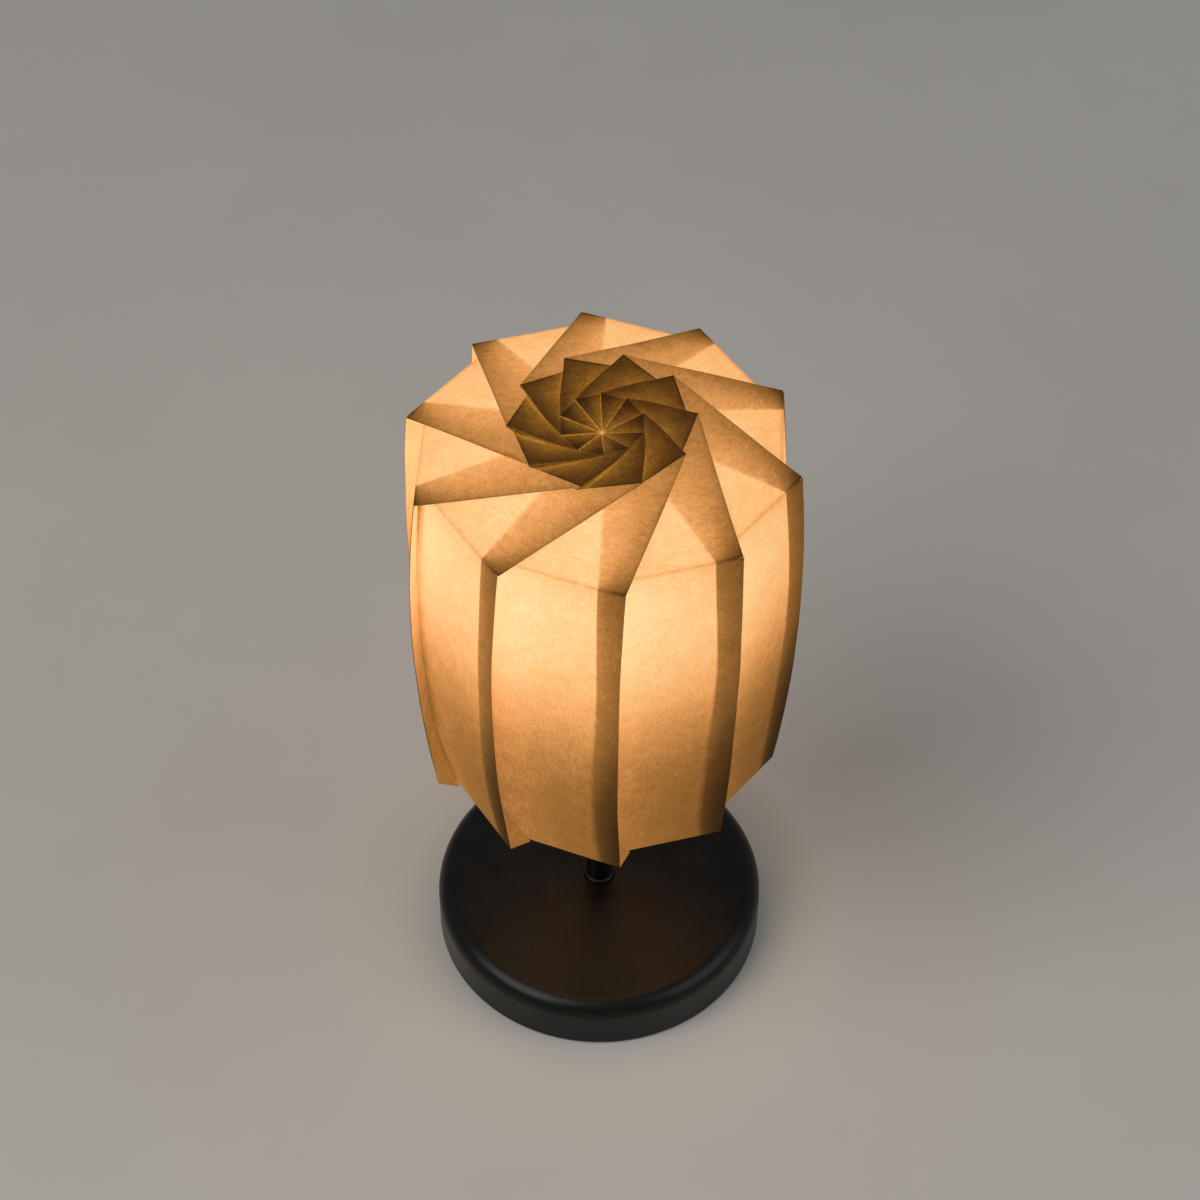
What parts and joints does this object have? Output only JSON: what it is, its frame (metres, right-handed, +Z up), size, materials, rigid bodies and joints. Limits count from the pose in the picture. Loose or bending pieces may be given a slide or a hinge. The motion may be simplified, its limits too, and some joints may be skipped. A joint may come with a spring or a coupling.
{
  "type": "table lamp",
  "caption": "Table lamp with a knife-pleated paper shade twisted shut into a rosette on top, a slim stem and a round weighted base.",
  "frame": {"origin": "centre of the footprint, on the table, on the stem's axis", "axes": "+Z up along the stem, -Y towards the viewer, cable inlet at +Y, +X to the viewer's right"},
  "size_m": [0.1794, 0.1838, 0.3617],
  "materials": {
    "shade_paper": "fibrous uncoated sheet that lets light through",
    "base_black": "satin black paint on spun steel",
    "stem_black": "satin black paint on steel tube",
    "plate_black": "thin black paint",
    "ballast_iron": "rough casting",
    "zinc_steel": "zinc plated",
    "foot_rubber": "matte",
    "black_plastic": "fine matte moulding",
    "holder_plastic": "semi-gloss thermoset moulding",
    "steatite": "unglazed",
    "contact_brass": "bright",
    "opal": "opal diffuser, satin",
    "bulb_white": "semi-gloss",
    "cap_metal": "bright",
    "insulator_black": "glassy",
    "board_white": "solder mask",
    "led_yellow": "phosphor gel",
    "board_green": "solder mask"
  },
  "bodies": {
    "stand": {"base_cover": "base_black", "bottom_plate": "plate_black", "bottom_screws": "zinc_steel", "rubber_feet": "foot_rubber", "cord_gland": "black_plastic", "ballast": "ballast_iron", "ballast_washer": "zinc_steel", "ballast_nut": "zinc_steel", "stem_collar": "base_black", "stem_tube": "stem_black", "threaded_rod": "zinc_steel", "holder_cap": "holder_plastic", "holder_skirt": "holder_plastic", "holder_insert": "steatite", "wire_terminals": "contact_brass", "screw_shell": "contact_brass", "centre_contact": "contact_brass", "side_contact": "contact_brass", "shade_carrier": "zinc_steel"},
    "shade": {"pleated_shade": "shade_paper"},
    "bulb": {"bulb_cap": "cap_metal", "bulb_insulator": "insulator_black", "bulb_contact": "contact_brass", "bulb_body": "bulb_white", "led_board": "board_white", "led_chips": "led_yellow", "driver_board": "board_green", "bulb_diffuser": "opal"},
    "ring": {"holder_ring": "holder_plastic"}
  },
  "joints": [
    {"name": "shade_lift", "type": "slide", "parent": "stand", "child": "shade", "axis": [0, 0, 1], "range_m": [0, 0.2]},
    {"name": "bulb_unscrew", "type": "hinge", "parent": "stand", "child": "bulb", "pos_m": [0, 0, 0.25], "axis": [0, 0, 1], "range_deg": [0, 1800]},
    {"name": "ring_unscrew", "type": "hinge", "parent": "stand", "child": "ring", "pos_m": [0, 0, 0.228], "axis": [0, 0, 1], "range_deg": [0, 720]}
  ]
}
